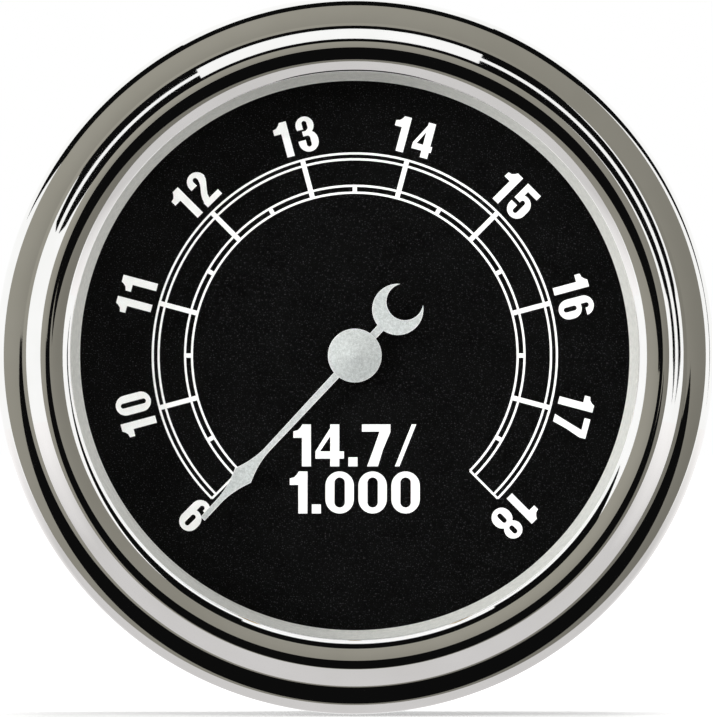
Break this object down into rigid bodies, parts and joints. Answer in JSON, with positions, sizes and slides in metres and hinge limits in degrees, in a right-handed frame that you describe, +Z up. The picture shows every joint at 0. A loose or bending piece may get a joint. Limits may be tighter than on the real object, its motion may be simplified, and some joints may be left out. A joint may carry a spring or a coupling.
{
  "type": "air fuel ratio gauge",
  "caption": "Round panel gauge with a chromed stepped bezel, black dial, swept pointer, magnet movement, rear blade terminals, twist-out lamp and a U bracket with thumb nuts.",
  "frame": {"origin": "centre of the bezel's rear face, which seats on the panel's front", "axes": "-Y out of the dial toward the driver, +Y into the panel, +Z up the dial (between 13 and 14), +X to the right of the dial as it is read"},
  "size_m": [0.073, 0.0696, 0.073],
  "materials": {
    "chrome_plate": "mirror",
    "clear_glass": "clear, flat",
    "seal_rubber": "matt",
    "bright_ring": "satin",
    "clear_plastic": "clear",
    "dial_black": "matt black paint",
    "print_white": "matt white ink",
    "pointer_silver": "fine-grained silver paint",
    "plain_brass": "turned",
    "bright_steel": "plain",
    "dark_magnet": "matt",
    "bobbin_plastic": "moulded",
    "enamelled_wire": "enamelled copper",
    "board_green": "solder mask",
    "chip_black": "moulded",
    "can_aluminium": "plain",
    "case_paint": "satin black paint",
    "white_plastic": "moulded",
    "zinc_plate": "zinc plated",
    "black_plastic": "moulded",
    "bulb_glass": "clear"
  },
  "bodies": {
    "housing": {"case": "case_paint", "bezel": "chrome_plate", "lens": "clear_glass", "lens_seal": "seal_rubber", "reveal_ring": "bright_ring", "light_ring": "clear_plastic", "dial_plate": "dial_black", "dial_scale": "print_white", "dial_numerals": "print_white", "dial_legend": "print_white", "stop_pin": "bright_steel", "bobbin_front": "bobbin_plastic", "bobbin_rear": "bobbin_plastic", "inner_coil": "enamelled_wire", "outer_coil": "enamelled_wire", "front_bearing": "plain_brass", "rear_bearing": "plain_brass", "return_magnet": "dark_magnet", "coil_pins": "bright_steel", "shield_can": "bright_steel", "circuit_board": "board_green", "driver_chip": "chip_black", "regulator": "chip_black", "capacitor": "can_aluminium", "resistors": "chip_black", "board_spacers": "bright_steel", "board_screws": "bright_steel", "reflector_sleeve": "white_plastic", "mounting_studs": "zinc_plate", "stud_washers": "zinc_plate", "stud_nuts": "zinc_plate", "terminal_block": "black_plastic", "signal_terminal": "plain_brass", "power_terminal": "plain_brass", "ground_terminal": "plain_brass"},
    "pointer": {"pointer_blade": "pointer_silver", "pointer_boss": "plain_brass", "hub_cap": "pointer_silver", "pointer_shaft": "bright_steel", "rotor_magnet": "dark_magnet", "stop_collar": "plain_brass"},
    "lamp": {"lamp_socket": "black_plastic", "lamp_bulb": "bulb_glass", "lamp_contacts": "plain_brass"},
    "clamp": {"clamp_bracket": "zinc_plate", "lock_washers": "zinc_plate"},
    "nut_left": {"thumb_nut_left": "plain_brass"},
    "nut_right": {"thumb_nut_right": "plain_brass"}
  },
  "joints": [
    {"name": "pointer_sweep", "type": "hinge", "parent": "housing", "child": "pointer", "pos_m": [0, 0, 0], "axis": [0, 1, 0], "range_deg": [0, 273.2], "stiffness_Nm_per_rad": 0.00005, "springref_deg": -57.3},
    {"name": "lamp_turn", "type": "hinge", "parent": "housing", "child": "lamp", "pos_m": [0, 0.0391, -0.0205], "axis": [0, 1, 0], "range_deg": [0, 60]},
    {"name": "clamp_slide", "type": "slide", "parent": "housing", "child": "clamp", "axis": [0, -1, 0], "range_m": [-0.004, 0.004]},
    {"name": "nut_left_turn", "type": "hinge", "parent": "clamp", "child": "nut_left", "pos_m": [-0.022, 0.052, 0], "axis": [0, -1, 0], "range_deg": [-2057.5, 2057.5]},
    {"name": "nut_right_turn", "type": "hinge", "parent": "clamp", "child": "nut_right", "pos_m": [0.022, 0.052, 0], "axis": [0, -1, 0], "range_deg": [-2057.5, 2057.5]}
  ],
  "couplings": [
    {"joint": "nut_left_turn", "follows": "clamp_slide", "rad_per_m": 8976},
    {"joint": "nut_right_turn", "follows": "clamp_slide", "rad_per_m": 8976}
  ]
}
